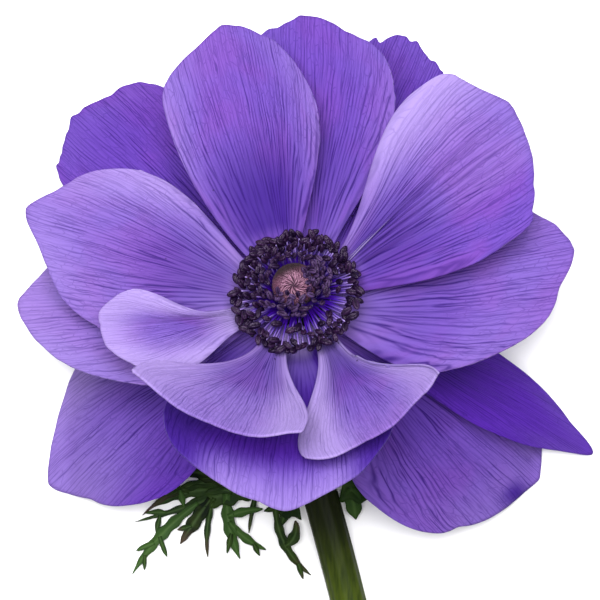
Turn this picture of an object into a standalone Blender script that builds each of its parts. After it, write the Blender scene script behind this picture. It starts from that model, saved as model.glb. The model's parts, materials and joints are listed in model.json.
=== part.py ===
"""A cut anemone flower lying on a surface, in metres, +Z up, with the surface at z = 0.

Fifteen tepals in three whorls stand on the swollen top of the stem, round a ring of stamens and
a pistil head. The neck of the stem bends, so the bloom faces up while the stem lies along the
surface, and three finely cut bracts grow from the stem below the neck.
"""

import math
import random
from dataclasses import dataclass

import bmesh
import bpy
from mathutils import Matrix, Vector, geometry

MM = 0.001
QUARTER_TURN = math.pi / 2
SHARP_ANGLE = math.radians(50)
GOLDEN_ANGLE = math.radians(137.508)

# The bloom: where the middle of its face stands, and which way it looks.
BLOOM_AT = Vector((-1.7, 26.5, 19.0)) * MM
BLOOM_LEAN = math.radians(22)
BLOOM_LEANS_TOWARDS = math.radians(108)

# Pieces that touch in the real flower keep this much air between them.
GAP = 0.3 * MM

# The stem, and the receptacle at its top: a drum that carries everything in the bloom.
STEM_RADIUS = 2.8 * MM
NECK_RADIUS = 2.2 * MM
COLLAR_RADIUS = 3.2 * MM
STEM_PRESSED_BY = 0.15 * MM
STEM_SIDES = 16
DRUM_RADIUS = 4.6 * MM
DRUM_HEIGHT = 5.6 * MM
DRUM_WALL = 4.6 * MM
DRUM_EDGE = 0.3 * MM
NECK_STEPS = 14
LYING_STEPS = 12
NECK_PULL = 8 * MM
LYING_PULL = 20 * MM

# The stem's way along the surface, measured from the spot right under the bloom.
NODE_AT = Vector((3.2, -30.0)) * MM
NODE_HEADING = math.radians(-74)
CUT_END_AT = Vector((17.0, -96.0)) * MM
CUT_END_HEADING = math.radians(-84)

# A blade that meets the surface bends along it, with its corner rounded by this much.
PRESS_ROUNDING = 0.7 * MM

# The tepals, in three whorls down the drum.
WHORL_DEPTHS = (0.9 * MM, 2.5 * MM, 4.1 * MM)
TEPAL_THICKNESS = 0.65 * MM
TEPAL_FOOT = 2.1 * MM
TEPAL_COLUMNS = 12
TEPAL_ROWS = 9
RIB_STEPS = 40

# The stamens, rooted in a low cushion on the drum. The inner ones are shorter and more upright.
CUSHION_RADIUS = 4.3 * MM
CUSHION_HEIGHT = 1.0 * MM
CUSHION_SIDES = 24
STAMEN_COUNT = 84
STAMEN_SEED = 7
STAMEN_LEANS = (math.radians(60), math.radians(18))
STAMEN_LENGTHS = (6.2 * MM, 4.2 * MM)
STAMEN_ROOTS = (0.9, 0.84)
LEAN_VARIES = math.radians(4)
TURN_VARIES = 0.08
LENGTH_VARIES = 0.5 * MM
ANTHER_SKEW = 0.8
STAMENS_LONGER_BY = 0.9 * MM
STAMENS_LONGER_AT = math.radians(290)
STAMEN_SIDES = 4
FILAMENT_RADIUS = 0.2 * MM
ANTHER_LENGTH = 1.5 * MM
ANTHER_RADIUS = 0.52 * MM
ANTHER_PROFILE = ((0.12, 0.8), (0.6, 1.0), (1.0, 0.55))

# The pistil head, a dome of small ripening pistils that sits on the cushion.
HEAD_RADIUS = 3.7 * MM
HEAD_HEIGHT = 4.6 * MM
HEAD_BULGE = 0.42
HEAD_RELIEF = 0.035

# The bracts, three cut leaves round the stem's node. They fall from its side to the surface,
# and arch a little over it.
BRACT_THICKNESS = 0.6 * MM
BRACT_HEIGHT = 2.5 * MM
BRACT_FALL = 6 * MM
BRACT_ARCH = 0.5 * MM
ARCH_SPACING = (3.1 * MM, 2.3 * MM)


@dataclass
class Tepal:
    """One tepal. Lengths are in millimetres and angles in degrees, anticlockwise from above.

    Pairs are (left, right) as seen from the bloom's middle, looking out along the blade.
    """

    name: str
    whorl: int
    foot: float  # where it stands on the drum
    heading: float  # which way it points
    length: float
    widths: tuple  # from the midrib to either margin
    shoulders: tuple = (0.62, 0.62)  # how far along its length it is widest
    rise: tuple = (30, 15, 5)  # the midrib's slope at its foot, middle and tip
    cup: tuple = (20, 20)  # how far either side curls up
    roll: float = 0  # lifts its left side and lowers its right
    blunt: float = 1.0
    point: float = 0.0
    flare: float = 1.2
    wave: float = 0.2  # in and out along the margin
    ruffle: float = 0.3  # up and down along the margin
    drop: float = 0.0  # how far under its whorl it stands


INNER_WHORL = (
    Tepal("tepal_top_left", 0, foot=112, heading=103, length=37, widths=(13.5, 10.6), shoulders=(0.75, 0.6),
          rise=(30, 20, 14), roll=-6, blunt=1.1, point=1.2),
    Tepal("tepal_upper_right", 0, foot=24, heading=36, length=36.5, widths=(12.2, 14), shoulders=(0.78, 0.68),
          rise=(25, 10, 2), roll=8, blunt=0.5, point=1.2, flare=1.45),
    Tepal("tepal_left", 0, foot=176, heading=162.5, length=36.6, widths=(13.5, 10.6), shoulders=(0.62, 0.66),
          rise=(26, 14, 5), cup=(-10, 20), roll=-5, blunt=1.2, point=3, drop=0.9),
    Tepal("tepal_fold_left", 0, foot=206, heading=195, length=27.5, widths=(8.5, 3),
          rise=(34, 24, 12), cup=(-10, 10), roll=-8, flare=1.6, drop=0.15),
    Tepal("tepal_front_left", 0, foot=244, heading=250, length=31.5, widths=(12.4, 14.4),
          shoulders=(0.88, 0.97), rise=(24, 42, 48), cup=(35, 30), roll=-8, blunt=0.7, drop=-0.6),
    Tepal("tepal_front_right", 0, foot=303, heading=299, length=30.5, widths=(14, 12), shoulders=(0.8, 0.78),
          rise=(18, 30, 38), cup=(35, 15), roll=8, blunt=0.7),
)

MIDDLE_WHORL = (
    Tepal("tepal_top", 1, foot=72, heading=90, length=39.5, widths=(10, 13.5), shoulders=(0.7, 0.64),
          rise=(18, 15, 5), roll=6, blunt=0.9, point=0.5),
    Tepal("tepal_right", 1, foot=346, heading=12, length=36.6, widths=(11, 15.2), shoulders=(0.62, 0.4),
          rise=(10, -2, -6), point=1.5),
    Tepal("tepal_lower_left", 1, foot=190, heading=180, length=37.6, widths=(13.6, 11), shoulders=(0.46, 0.6),
          rise=(15, 0, -5), blunt=1.4, point=1, drop=0.3),
    Tepal("tepal_front", 1, foot=268, heading=269.5, length=31.3, widths=(16, 17), shoulders=(0.6, 0.6),
          rise=(10, 27, 5), cup=(12, 28), point=3),
)

OUTER_WHORL = (
    Tepal("tepal_back_top", 2, foot=52, heading=74, length=45.2, widths=(10, 9),
          rise=(5, -8, -15), cup=(0, 0), wave=0.9),
    Tepal("tepal_back_left", 2, foot=145, heading=135, length=43.5, widths=(12.5, 12.5),
          rise=(8, 0, -8), cup=(0, 0), blunt=0.7, wave=0.6),
    Tepal("tepal_low_left", 2, foot=217, heading=206, length=45, widths=(13.5, 14), shoulders=(0.55, 0.6),
          rise=(-5, -28, -45), cup=(-8, -8), blunt=1.2, point=3),
    Tepal("tepal_low_right", 2, foot=308, heading=328, length=44.4, widths=(12, 16.2), shoulders=(0.85, 0.5),
          rise=(-15, -41, -52), cup=(-8, -8), blunt=0.75, drop=0.4),
    Tepal("tepal_long_right", 2, foot=335, heading=341, length=47, widths=(6.6, 6), shoulders=(0.5, 0.62),
          rise=(-10, -36, -48), cup=(-20, -20), blunt=1.4, point=4, drop=-0.4),
)


@dataclass
class Lobe:
    """A finger of a bract: where it leaves its parent's rib, which way, and its own size."""

    at: float
    turn: float
    length: float
    width: float
    curve: float = 0.0
    lobes: tuple = ()


LEFT_BRACT = Lobe(0, 204, 25.5, 4.8, -8, (
    Lobe(0.27, 62, 4.2, 1.3, 10),
    Lobe(0.30, -34, 7.0, 2.2, 10),
    Lobe(0.56, 60, 8.8, 2.0, 26, (
        Lobe(0.30, 66, 7.5, 1.6, 14),
        Lobe(0.50, 36, 6.5, 1.7, 10),
    )),
    Lobe(0.50, -42, 7.4, 2.2, 14),
    Lobe(0.66, 40, 6.0, 2.6, 6),
    Lobe(0.76, 26, 11.5, 2.0, 6, (
        Lobe(0.30, 28, 4.2, 1.1),
        Lobe(0.62, -24, 3.4, 1.1),
    )),
    Lobe(0.80, -30, 4.5, 1.5, 18),
))

FRONT_BRACT = Lobe(0, 190, 5.6, 4.6, 10, (
    Lobe(0.66, 76, 12.4, 1.8, 50, (
        Lobe(0.56, 92, 4.4, 1.6, 80),
    )),
))

RIGHT_BRACT = Lobe(0, -12, 9, 4.4, 6, (
    Lobe(0.16, -70, 5.2, 3.2, 0),
    Lobe(0.50, 40, 3.5, 1.6, -10),
))


def bloom_matrix():
    """The bloom's own frame, whose z axis is the way that the flower faces."""
    sideways = Vector((-math.sin(BLOOM_LEANS_TOWARDS), math.cos(BLOOM_LEANS_TOWARDS), 0))
    return Matrix.Translation(BLOOM_AT) @ Matrix.Rotation(BLOOM_LEAN, 4, sideways)


def plain_material(name, colour, roughness=0.6):
    material = bpy.data.materials.new(name)
    material.use_nodes = True
    shader = material.node_tree.nodes["Principled BSDF"]
    shader.inputs["Base Color"].default_value = (*colour, 1)
    shader.inputs["Roughness"].default_value = roughness
    material.diffuse_color = (*colour, 1)
    return material


def add_object(name, shape, material, parent=None):
    """Turn a bmesh into a named object."""
    mesh = bpy.data.meshes.new(name)
    shape.to_mesh(mesh)
    shape.free()
    mesh.shade_smooth()
    mesh.materials.append(material)
    obj = bpy.data.objects.new(name, mesh)
    bpy.context.scene.collection.objects.link(obj)
    obj.parent = parent
    return obj


def solidify(obj, thickness):
    skin = obj.modifiers.new("Thickness", "SOLIDIFY")
    skin.thickness = thickness
    skin.offset = -1


def pressed(height, thickness):
    """A height kept above the surface: what would sink through it lies along it instead."""
    over = height - thickness
    return thickness + (over + math.hypot(over, PRESS_ROUNDING)) / 2


def sweep(path, radii, sides, side_hint):
    """A closed tube along a path, with a radius at each point."""
    shape = bmesh.new()
    rings = []
    for index, (point, radius) in enumerate(zip(path, radii)):
        before = path[max(index - 1, 0)]
        after = path[min(index + 1, len(path) - 1)]
        forward = (after - before).normalized()
        across = (side_hint - forward * side_hint.dot(forward)).normalized()
        over = across.cross(forward)
        ring = []
        for step in range(sides):
            angle = (step + 0.5) / sides * math.tau
            spoke = across * math.cos(angle) + over * math.sin(angle)
            ring.append(shape.verts.new(point + spoke * radius))
        rings.append(ring)
    for lower, upper in zip(rings, rings[1:]):
        for step in range(sides):
            after = (step + 1) % sides
            shape.faces.new((lower[step], upper[step], upper[after], lower[after]))
    shape.faces.new(rings[0])
    shape.faces.new(rings[-1])
    bmesh.ops.recalc_face_normals(shape, faces=shape.faces)
    return shape


# ---- The tepals ----

def midrib(tepal):
    """(distance out, height, angle) at even steps along the midrib."""
    base, middle, tip = (math.radians(angle) for angle in tepal.rise)
    step = tepal.length * MM / RIB_STEPS
    out, up, points = 0.0, 0.0, []
    for index in range(RIB_STEPS * 5 // 4 + 1):
        t = min(index / RIB_STEPS, 1.0)
        angle = base * (1 - t) * (1 - 2 * t) + middle * 4 * t * (1 - t) + tip * t * (2 * t - 1)
        points.append((out, up, angle))
        out += step * math.cos(angle)
        up += step * math.sin(angle)
    return points


def along(rib, distance, length):
    """(distance out, height, angle) at a distance along the midrib."""
    place = max(0.0, distance / length * RIB_STEPS)
    index = min(int(place), len(rib) - 2)
    share = place - index
    return tuple(a + (b - a) * share for a, b in zip(rib[index], rib[index + 1]))


def foot_point(tepal, v):
    """Where the blade's foot, which follows the drum's round side, lies from its middle."""
    seat = DRUM_RADIUS + GAP
    middle = math.radians(tepal.foot - tepal.heading)
    angle = middle + v * TEPAL_FOOT / seat
    return seat * (math.cos(angle) - math.cos(middle)), seat * (math.sin(angle) - math.sin(middle))


def curled(aside, width, cup):
    """How far aside and how high a point lies, once its side of the blade curls up by cup degrees."""
    bend = math.radians(cup) * aside / width
    if abs(bend) < 1e-6:
        return aside, 0.0
    return aside * math.sin(bend) / bend, aside * (1 - math.cos(bend)) / bend


def blade_point(tepal, rib, s, v):
    """The upper surface, at s from foot to margin and v from the right side, -1, to the left, 1."""
    side = 0 if v > 0 else 1
    length = tepal.length * MM
    width = tepal.widths[side] * MM
    shoulder = tepal.shoulders[side]
    fan = abs(v) * QUARTER_TURN
    spread = math.sin(s * QUARTER_TURN) ** tepal.flare
    ahead = s * length * (shoulder + (1 - shoulder) * math.cos(fan) ** tepal.blunt)
    ahead += tepal.point * MM * math.exp(-((v / 0.22) ** 2)) * s**5
    ahead += tepal.wave * MM * math.sin(11 * v + tepal.foot) * s**6
    aside, lift = curled(width * math.sin(fan) * spread, width, tepal.cup[side])
    aside = math.copysign(aside, v)
    lift += tepal.ruffle * MM * s * s * abs(v) ** 1.5 * math.sin(7 * v + 5 * s + tepal.foot)
    out, up, slope = along(rib, ahead, length)
    foot_out, foot_aside = foot_point(tepal, v)
    out += foot_out * (1 - spread)
    aside += foot_aside * (1 - spread)
    roll = math.radians(tepal.roll)
    rolled_aside = aside * math.cos(roll) - lift * math.sin(roll)
    rolled_lift = aside * math.sin(roll) + lift * math.cos(roll)
    return Vector((
        out - rolled_lift * math.sin(slope),
        rolled_aside,
        up + rolled_lift * math.cos(slope),
    ))


def make_tepal(tepal, bloom, material):
    foot = math.radians(tepal.foot)
    seat = DRUM_RADIUS + GAP
    depth = WHORL_DEPTHS[tepal.whorl] + tepal.drop * MM
    place = Vector((seat * math.cos(foot), seat * math.sin(foot), -depth))
    turn = math.radians(tepal.heading)
    matrix = bloom_matrix() @ Matrix.Translation(place) @ Matrix.Rotation(turn, 4, "Z")
    back = matrix.inverted()
    rib = midrib(tepal)
    shape = bmesh.new()
    bmesh.ops.create_grid(shape, x_segments=TEPAL_COLUMNS, y_segments=TEPAL_ROWS, size=1)
    for vertex in shape.verts:
        world = matrix @ blade_point(tepal, rib, (vertex.co.y + 1) / 2, -vertex.co.x)
        world.z = pressed(world.z, TEPAL_THICKNESS)
        vertex.co = back @ world
    bmesh.ops.triangulate(shape, faces=shape.faces)
    obj = add_object(tepal.name, shape, material, bloom)
    obj.location = place
    obj.rotation_euler.z = turn
    solidify(obj, TEPAL_THICKNESS)


# ---- The stem ----

def on_surface(spot, height):
    """A point beside the bloom: metres from the bloom's foot, at a height over the surface."""
    return Vector((BLOOM_AT.x + spot.x, BLOOM_AT.y + spot.y, height))


def heading_vector(heading):
    return Vector((math.cos(heading), math.sin(heading), 0))


def stem_route(facing):
    """Points down the neck from the drum, and along the surface to the cut end."""
    under_drum = BLOOM_AT - facing * DRUM_HEIGHT
    height = STEM_RADIUS - STEM_PRESSED_BY
    node = on_surface(NODE_AT, height)
    cut_end = on_surface(CUT_END_AT, height)
    onward = heading_vector(NODE_HEADING) * LYING_PULL
    into_end = heading_vector(CUT_END_HEADING) * LYING_PULL
    neck = geometry.interpolate_bezier(
        under_drum, under_drum - facing * NECK_PULL, node - onward, node, NECK_STEPS
    )
    lying = geometry.interpolate_bezier(
        node, node + onward, cut_end - into_end, cut_end, LYING_STEPS
    )
    return neck, lying[1:]


def make_stem(material):
    facing = bloom_matrix().to_3x3() @ Vector((0, 0, 1))
    neck, lying = stem_route(facing)
    path = [BLOOM_AT, BLOOM_AT - facing * DRUM_EDGE, BLOOM_AT - facing * DRUM_WALL]
    radii = [DRUM_RADIUS - DRUM_EDGE, DRUM_RADIUS, DRUM_RADIUS, COLLAR_RADIUS]
    for index in range(1, len(neck)):
        share = index / (len(neck) - 1)
        radii.append(NECK_RADIUS + (STEM_RADIUS - NECK_RADIUS) * share)
    radii += [STEM_RADIUS] * len(lying)
    shape = sweep(path + neck + lying, radii, STEM_SIDES, Vector((1, 0, 0)))
    for vertex in shape.verts:
        vertex.co.z = max(vertex.co.z, 0)
    obj = add_object("stem", shape, material)
    obj.data.set_sharp_from_angle(angle=SHARP_ANGLE)


# ---- The stamens and the pistil head ----

def between(ends, share):
    return ends[0] + (ends[1] - ends[0]) * share


def stamen_shape(index, draw):
    """One stamen: a thin filament, and an anther that hangs askew at its end."""
    up = Vector((0, 0, 1))
    share = index / (STAMEN_COUNT - 1)
    azimuth = index * GOLDEN_ANGLE + draw.uniform(-TURN_VARIES, TURN_VARIES)
    outward = heading_vector(azimuth)
    aside = up.cross(outward)
    lean = between(STAMEN_LEANS, share) + draw.uniform(-LEAN_VARIES, LEAN_VARIES)
    length = between(STAMEN_LENGTHS, share) + draw.uniform(-LENGTH_VARIES, LENGTH_VARIES)
    length += STAMENS_LONGER_BY * math.cos(azimuth - STAMENS_LONGER_AT)
    root = outward * CUSHION_RADIUS * between(STAMEN_ROOTS, share) + up * CUSHION_HEIGHT / 2
    direction = outward * math.sin(lean) + up * math.cos(lean)
    neck = root + direction * length
    skew = aside * draw.uniform(-1, 1) + up * draw.uniform(-0.4, 0.6)
    askew = (direction + skew * ANTHER_SKEW).normalized()
    path = [root, neck]
    radii = [FILAMENT_RADIUS * 1.2, FILAMENT_RADIUS]
    for part, fullness in ANTHER_PROFILE:
        path.append(neck + askew * ANTHER_LENGTH * part)
        radii.append(ANTHER_RADIUS * fullness)
    return sweep(path, radii, STAMEN_SIDES, aside)


def join_all(obj, others):
    """Fuse a collection's objects into obj, and remove them."""
    joined = obj.modifiers.new("Join", "BOOLEAN")
    joined.operation = "UNION"
    joined.operand_type = "COLLECTION"
    joined.collection = others
    bpy.context.view_layer.update()
    graph = bpy.context.evaluated_depsgraph_get()
    obj.data = bpy.data.meshes.new_from_object(obj.evaluated_get(graph))
    obj.modifiers.clear()
    for piece in list(others.objects):
        bpy.data.objects.remove(piece)
    bpy.data.collections.remove(others)


def make_stamens(bloom, material):
    """The cushion with its stamens, in one body."""
    up = Vector((0, 0, 1))
    path = [up * GAP, up * CUSHION_HEIGHT * 0.6, up * CUSHION_HEIGHT]
    radii = [CUSHION_RADIUS, CUSHION_RADIUS, CUSHION_RADIUS * 0.9]
    shape = sweep(path, radii, CUSHION_SIDES, Vector((1, 0, 0)))
    cushion = add_object("stamens", shape, material, bloom)
    others = bpy.data.collections.new("stamen_parts")
    bpy.context.scene.collection.children.link(others)
    draw = random.Random(STAMEN_SEED)
    for index in range(STAMEN_COUNT):
        stamen = add_object(f"stamen_{index}", stamen_shape(index, draw), material, bloom)
        bpy.context.scene.collection.objects.unlink(stamen)
        others.objects.link(stamen)
    join_all(cushion, others)


def make_pistil_head(bloom, material):
    """A ball with its underside cut flat, and low bumps all over."""
    shape = bmesh.new()
    bmesh.ops.create_icosphere(shape, subdivisions=4, radius=1)
    seat = CUSHION_HEIGHT + GAP
    for vertex in shape.verts:
        x, y, z = vertex.co
        bump = 1 + HEAD_RELIEF * math.sin(9 * x + 2 * z) * math.sin(9 * y - z) * math.cos(8 * z)
        height = (z + HEAD_BULGE) / (1 + HEAD_BULGE) * HEAD_HEIGHT
        vertex.co = Vector((x * HEAD_RADIUS, y * HEAD_RADIUS, height)) * bump
        vertex.co.z += seat
    cut = bmesh.ops.bisect_plane(
        shape, geom=shape.verts[:] + shape.edges[:] + shape.faces[:],
        plane_co=(0, 0, seat), plane_no=(0, 0, -1), clear_outer=True,
    )
    rim = [edge for edge in cut["geom_cut"] if isinstance(edge, bmesh.types.BMEdge)]
    bmesh.ops.contextual_create(shape, geom=rim)
    bmesh.ops.recalc_face_normals(shape, faces=shape.faces)
    head = add_object("pistil_head", shape, material, bloom)
    head.data.set_sharp_from_angle(angle=SHARP_ANGLE)


# ---- The bracts ----

def rib_point(lobe, root, heading, t):
    """The point and the heading at t along a lobe's rib, which is an arc."""
    turned = math.radians(lobe.curve) * t
    chord = lobe.length * MM * t
    if abs(turned) > 1e-6:
        chord *= math.sin(turned / 2) / (turned / 2)
    return root + heading_vector(heading + turned / 2).xy * chord, heading + turned


def half_width(lobe, t):
    return lobe.width * MM / 2 * (1 - t**3) ** 0.8


def lobe_outline(lobe, root, heading, start, ribs):
    """A lobe's outline with its own lobes: up its left margin, round its tip and back."""
    marks = (start, (start + 1) / 2, 0.85)
    margins = []
    for side in (1, -1):
        children = [child for child in lobe.lobes if child.turn * side > 0]
        stops = [(child.at, child) for child in children]
        for t in marks:
            clear = all(abs(child.at - t) * lobe.length > child.width * 0.75 for child in children)
            if clear or t == start:
                stops.append((t, None))
        stops.sort(key=lambda stop: stop[0])
        margin = []
        for t, child in stops:
            point, way = rib_point(lobe, root, heading, t)
            if child is None:
                across = heading_vector(way + QUARTER_TURN * side).xy
                margin.append(point + across * half_width(lobe, t))
                continue
            outward = way + math.radians(child.turn)
            leaves_at = half_width(lobe, t) / math.sin(math.radians(abs(child.turn))) / (child.length * MM)
            outline = lobe_outline(child, point, outward, min(leaves_at + 0.08, 0.6), ribs)
            ribs += [point, rib_point(child, point, outward, min(leaves_at, 0.5))[0]]
            margin += outline if side > 0 else reversed(outline)
        margins.append(margin)
    ribs += [rib_point(lobe, root, heading, t)[0] for t in (start + 0.02, marks[1], marks[2])]
    tip = rib_point(lobe, root, heading, 1.0)[0]
    return margins[0] + [tip] + margins[1][::-1]


def make_bract(name, lobe, attached_at, material):
    """Fill a bract's outline, and lay it from the stem's side down on to the surface."""
    ribs = []
    outline = lobe_outline(lobe, Vector((0, 0)), math.radians(lobe.turn), 0.0, ribs)
    edges = [(index - 1, index) for index in range(1, len(outline))]
    edges.append((len(outline) - 1, 0))
    inside_only = 1
    points, _, faces, *_ = geometry.delaunay_2d_cdt(outline + ribs, edges, [], inside_only, 1e-7)
    shape = bmesh.new()
    base = on_surface(attached_at, 0)
    for point in points:
        reach = point.length
        height = BRACT_HEIGHT * math.exp(-reach / BRACT_FALL)
        height += BRACT_ARCH * math.sin(reach / ARCH_SPACING[0] + point.x / ARCH_SPACING[1])
        shape.verts.new(base + Vector((point.x, point.y, pressed(height, BRACT_THICKNESS))))
    shape.verts.ensure_lookup_table()
    for corners in faces:
        shape.faces.new([shape.verts[index] for index in corners])
    bmesh.ops.triangulate(shape, faces=shape.faces)
    shape.normal_update()
    bmesh.ops.reverse_faces(shape, faces=[face for face in shape.faces if face.normal.z < 0])
    obj = add_object(name, shape, material)
    solidify(obj, BRACT_THICKNESS)


# ---- The whole flower ----

for old in list(bpy.data.objects):
    bpy.data.objects.remove(old)

bloom_empty = bpy.data.objects.new("bloom", None)
bpy.context.scene.collection.objects.link(bloom_empty)
bloom_empty.matrix_world = bloom_matrix()

violet = plain_material("tepal_violet", (0.24, 0.12, 0.58))
for each_tepal in INNER_WHORL + MIDDLE_WHORL + OUTER_WHORL:
    make_tepal(each_tepal, bloom_empty, violet)
make_stem(plain_material("stem_green", (0.06, 0.08, 0.012)))
make_stamens(bloom_empty, plain_material("stamen_purple", (0.02, 0.008, 0.045)))
make_pistil_head(bloom_empty, plain_material("pistil_pink", (0.4, 0.2, 0.38)))

green = plain_material("bract_green", (0.04, 0.07, 0.02))
make_bract("bract_left", LEFT_BRACT, NODE_AT + Vector((-4.1, 2.6)) * MM, green)
make_bract("bract_front", FRONT_BRACT, NODE_AT + Vector((-3.0, -2.7)) * MM, green)
make_bract("bract_right", RIGHT_BRACT, NODE_AT + Vector((3.8, 0.0)) * MM, green)
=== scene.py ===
"""A cut anemone flower that lies on a pale surface, seen from above. Lengths are in metres, +Z up.

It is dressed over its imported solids: thin veined tepals, fine stamens and pistils, a ridged stem
and cut bracts take the places of the plain ones.
"""

import json
import math
import random
from dataclasses import dataclass

import bmesh
import bpy
from mathutils import Matrix, Vector, geometry, noise
from mathutils.bvhtree import BVHTree

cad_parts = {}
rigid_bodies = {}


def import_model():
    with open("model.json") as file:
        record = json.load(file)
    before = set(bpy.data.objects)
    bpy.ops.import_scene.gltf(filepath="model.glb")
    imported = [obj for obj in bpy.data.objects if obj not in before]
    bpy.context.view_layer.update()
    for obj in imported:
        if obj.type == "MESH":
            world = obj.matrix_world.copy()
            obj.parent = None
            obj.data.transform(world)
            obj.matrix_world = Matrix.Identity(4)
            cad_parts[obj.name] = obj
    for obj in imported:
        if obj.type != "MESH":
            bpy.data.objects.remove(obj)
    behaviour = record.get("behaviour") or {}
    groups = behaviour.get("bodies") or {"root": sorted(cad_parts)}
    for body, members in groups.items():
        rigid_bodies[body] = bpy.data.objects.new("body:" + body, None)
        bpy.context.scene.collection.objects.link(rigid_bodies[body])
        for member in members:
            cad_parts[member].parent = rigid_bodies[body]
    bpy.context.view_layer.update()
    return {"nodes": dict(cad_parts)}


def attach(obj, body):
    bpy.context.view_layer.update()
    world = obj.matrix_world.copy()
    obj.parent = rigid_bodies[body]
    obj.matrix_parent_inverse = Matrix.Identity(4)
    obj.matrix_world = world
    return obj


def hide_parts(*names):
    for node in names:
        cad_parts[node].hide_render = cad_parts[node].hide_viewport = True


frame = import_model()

# ---- The tepals ----
# An anemone's bloom has no green sepals, but tepals that look like petals: soft, downy blades in
# three whorls. Each stands on the side of the receptacle by a narrow foot, and its veins fork
# and spread from there to the margin.

MM = 0.001
QUARTER_TURN = math.pi / 2
BLOOM_LEAN = math.radians(22)
BLOOM_LEANS_TOWARDS = math.radians(108)
DRUM_RADIUS = 4.6 * MM
SEAT_RADIUS = DRUM_RADIUS + 0.3 * MM
WHORL_DEPTHS = (0.9 * MM, 2.5 * MM, 4.1 * MM)
CAD_TEPAL_THICKNESS = 0.65 * MM
TEPAL_THICKNESS = 0.3 * MM
TEPAL_FOOT = 2.1 * MM
TEPAL_COLUMNS = 104
TEPAL_ROWS = 66
RIB_STEPS = 40
PRESS_ROUNDING = 0.7 * MM
SEED_SPAN = 40
UP = Vector((0, 0, 1))


@dataclass
class Tepal:
    """One tepal. Lengths are in millimetres and angles in degrees, anticlockwise from above.

    Pairs are (left, right) as seen from the bloom's middle, looking out along the blade. The
    tables give name, whorl, foot, heading, length and widths in this order.
    """

    name: str
    whorl: int
    foot: float  # where it stands on the receptacle
    heading: float  # which way it points
    length: float
    widths: tuple  # from the midrib to either margin
    shoulders: tuple = (0.62, 0.62)  # how far along its length it is widest
    rise: tuple = (30, 15, 5)  # the midrib's slope at its foot, middle and tip
    cup: tuple = (20, 20)  # how far either side curls up
    roll: float = 0  # lifts its left side and lowers its right
    blunt: float = 1.0
    point: float = 0.0
    flares: tuple = (1.2, 1.2)  # how slowly either side widens from the foot
    wave: float = 0.2  # in and out along the margin
    ruffle: float = 0.3  # up and down along the margin
    drop: float = 0.0  # how far under its whorl it stands
    pleats: float = 0.3  # how deep the pleats are that spread from its foot
    folds: tuple = ()  # single folds, as (place between the margins, depth, breadth)
    jag: float = 0.0  # how far the margin is torn and notched
    corners: tuple = ()  # where the margin juts out or in, as (place, how far, breadth)
    bend: float = 0.0  # how far its middle bows out to the left
    pale_and_lit: tuple = (0.3, 0.1, 0.3)  # how pale its left side, its middle and its right side are: pale tissue and painted light
    deep: float = 0.0  # how much deeper its violet is: its own colour and painted shade
    pale_and_lit_lip: float = 0.15  # how much paler it is along its end: pale tissue and painted light
    sole: float = 0.2  # how pale it is at its foot
    heart: float = 0.6  # how dark it is round its foot
    reach: float = 0.68  # how far out the dark part reaches
    side_shade: float = 0.0  # painted shade on its sides, where the tepals above it shadow them
    dark_end: tuple = (0, 0, 1)  # where its end is darker, as (place, how dark, breadth)


def polar(azimuth, reach, height):
    return Vector((math.cos(azimuth) * reach, math.sin(azimuth) * reach, height))


def bloom_frame():
    """The bloom's own frame: its z axis is the way the flower faces, its origin is the middle of
    the receptacle's top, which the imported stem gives."""
    sideways = Vector((-math.sin(BLOOM_LEANS_TOWARDS), math.cos(BLOOM_LEANS_TOWARDS), 0))
    turn = Matrix.Rotation(BLOOM_LEAN, 4, sideways)
    facing = turn @ UP
    corners = [vertex.co for vertex in frame["nodes"]["stem"].data.vertices]
    top = max(corner.dot(facing) for corner in corners)
    rim = [corner for corner in corners if corner.dot(facing) > top - 0.05 * MM]
    lowest = Vector(min(corner[axis] for corner in rim) for axis in range(3))
    highest = Vector(max(corner[axis] for corner in rim) for axis in range(3))
    return Matrix.Translation((lowest + highest) / 2) @ turn


bloom = bloom_frame()
bloom_at = bloom.translation


def add_object(name, data):
    made = bpy.data.objects.new(name, data)
    bpy.context.scene.collection.objects.link(made)
    return made


def add_mesh(name, shape, material):
    """Turn a bmesh into a smooth object."""
    mesh = bpy.data.meshes.new(name)
    shape.to_mesh(mesh)
    shape.free()
    mesh.shade_smooth()
    mesh.materials.append(material)
    return add_object(name, mesh)


def finish_piece(name, shape, material, node):
    """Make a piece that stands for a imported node."""
    piece = add_mesh(name, shape, material)
    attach(piece, "root")
    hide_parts(node)
    return piece


def pressed(height, thickness):
    """A height kept above the surface: what would sink through it lies along it instead."""
    over = height - thickness
    return thickness + (over + math.hypot(over, PRESS_ROUNDING)) / 2


def smooth_step(low, high, value):
    share = min(max((value - low) / (high - low), 0.0), 1.0)
    return share * share * (3 - 2 * share)


def midrib(tepal):
    """(distance out, height, angle) at even steps along the midrib."""
    base, middle, tip = (math.radians(angle) for angle in tepal.rise)
    step = tepal.length * MM / RIB_STEPS
    out, up, points = 0.0, 0.0, []
    for index in range(RIB_STEPS * 5 // 4 + 1):
        t = min(index / RIB_STEPS, 1.0)
        angle = base * (1 - t) * (1 - 2 * t) + middle * 4 * t * (1 - t) + tip * t * (2 * t - 1)
        points.append((out, up, angle))
        out += step * math.cos(angle)
        up += step * math.sin(angle)
    return points


def along(rib, distance, length):
    """(distance out, height, angle) at a distance along the midrib."""
    place = max(0.0, distance / length * RIB_STEPS)
    index = min(int(place), len(rib) - 2)
    share = place - index
    return tuple(a + (b - a) * share for a, b in zip(rib[index], rib[index + 1]))


def foot_point(tepal, v):
    """Where the blade's foot, which follows the receptacle's round side, lies from its middle."""
    middle = math.radians(tepal.foot - tepal.heading)
    angle = middle + v * TEPAL_FOOT / SEAT_RADIUS
    return (
        SEAT_RADIUS * (math.cos(angle) - math.cos(middle)),
        SEAT_RADIUS * (math.sin(angle) - math.sin(middle)),
    )


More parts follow.
